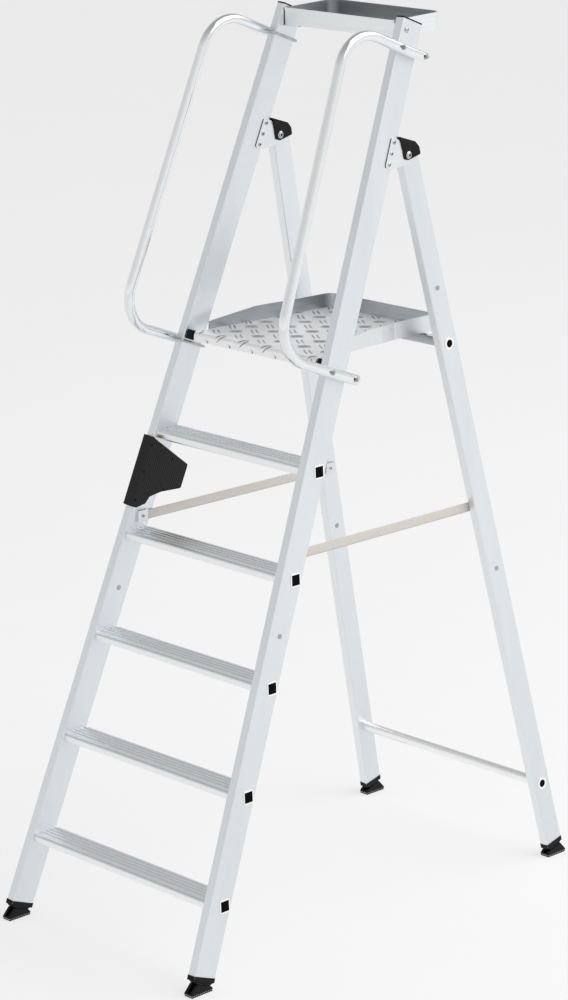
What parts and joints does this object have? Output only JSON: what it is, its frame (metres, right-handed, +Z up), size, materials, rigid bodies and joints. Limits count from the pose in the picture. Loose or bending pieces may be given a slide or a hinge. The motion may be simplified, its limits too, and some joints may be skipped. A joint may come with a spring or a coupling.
{
  "type": "platform stepladder",
  "caption": "Folding aluminium stepladder with ribbed treads, a guarded platform, bow handrails, a tool tray and tilting feet on a hinged rear frame.",
  "frame": {"origin": "on the floor, midway between the front and rear soles and between the left and right sides", "axes": "+X to the right as one climbs, +Y from the treads towards the rear frame, +Z up"},
  "size_m": [0.6596, 1.2906, 2.1279],
  "materials": {
    "aluminium": "satin extruded",
    "checker_plate": "raised bar pattern",
    "steel": "zinc plated",
    "black_plastic": "fine moulded grain",
    "sole_plastic": "ribbed",
    "webbing": "flat woven"
  },
  "bodies": {
    "front_frame": {"stile_left": "aluminium", "stile_right": "aluminium", "step_1": "aluminium", "step_2": "aluminium", "step_3": "aluminium", "step_4": "aluminium", "step_5": "aluminium", "step_plugs": "black_plastic", "stile_cap_left": "black_plastic", "stile_cap_right": "black_plastic", "tray": "aluminium", "tray_spacers": "black_plastic", "tray_bolts": "steel", "handrail_left": "aluminium", "handrail_right": "aluminium", "handrail_u_bolts": "steel", "handrail_nuts": "steel", "hinge_plate_left_outer": "aluminium", "hinge_plate_left_inner": "aluminium", "hinge_plate_right_outer": "aluminium", "hinge_plate_right_inner": "aluminium", "hinge_rivets": "steel", "hinge_bolts": "steel", "carry_pad": "black_plastic", "carry_pad_screws": "black_plastic", "platform_bearing_left": "black_plastic", "platform_bearing_right": "black_plastic", "front_strap_clips": "aluminium", "front_strap_rivets": "steel", "foot_collar_front_left": "black_plastic", "foot_collar_front_right": "black_plastic", "front_foot_pins": "steel", "stile_rivets": "aluminium", "strap_left": "webbing", "strap_right": "webbing"},
    "rear_frame": {"leg_left": "aluminium", "leg_right": "aluminium", "cross_tube_upper": "aluminium", "cross_tube_lower": "aluminium", "cross_tube_plugs": "black_plastic", "hinge_cap_left": "black_plastic", "hinge_cap_right": "black_plastic", "rear_strap_clips": "aluminium", "rear_strap_rivets": "steel", "foot_collar_rear_left": "black_plastic", "foot_collar_rear_right": "black_plastic", "rear_foot_pins": "steel", "leg_rivets": "aluminium"},
    "platform": {"platform_deck": "checker_plate", "toe_board": "aluminium", "platform_pins": "steel"},
    "foot_front_left": {"shoe_front_left": "black_plastic", "sole_front_left": "sole_plastic"},
    "foot_front_right": {"shoe_front_right": "black_plastic", "sole_front_right": "sole_plastic"},
    "foot_rear_left": {"shoe_rear_left": "black_plastic", "sole_rear_left": "sole_plastic"},
    "foot_rear_right": {"shoe_rear_right": "black_plastic", "sole_rear_right": "sole_plastic"}
  },
  "joints": [
    {"name": "leg_fold", "type": "hinge", "parent": "front_frame", "child": "rear_frame", "pos_m": [0, 0.15121, 1.812], "axis": [-1, 0, 0], "range_deg": [0, 33], "deforming": ["strap_left", "strap_right"]},
    {"name": "platform_lift", "type": "hinge", "parent": "front_frame", "child": "platform", "pos_m": [0, -0.11307, 1.36], "axis": [1, 0, 0], "range_deg": [0, 66]},
    {"name": "foot_tilt_front_left", "type": "hinge", "parent": "front_frame", "child": "foot_front_left", "pos_m": [-0.3173, -0.60883, 0.019], "axis": [1, 0, 0], "range_deg": [-6, 6]},
    {"name": "foot_tilt_front_right", "type": "hinge", "parent": "front_frame", "child": "foot_front_right", "pos_m": [0.3173, -0.60883, 0.019], "axis": [1, 0, 0], "range_deg": [-6, 6]},
    {"name": "foot_tilt_rear_left", "type": "hinge", "parent": "rear_frame", "child": "foot_rear_left", "pos_m": [-0.31491, 0.60883, 0.019], "axis": [1, 0, 0], "range_deg": [-6, 6]},
    {"name": "foot_tilt_rear_right", "type": "hinge", "parent": "rear_frame", "child": "foot_rear_right", "pos_m": [0.31491, 0.60883, 0.019], "axis": [1, 0, 0], "range_deg": [-6, 6]}
  ],
  "couplings": [
    {"joint": "platform_lift", "follows": "leg_fold", "ratio": 2}
  ]
}
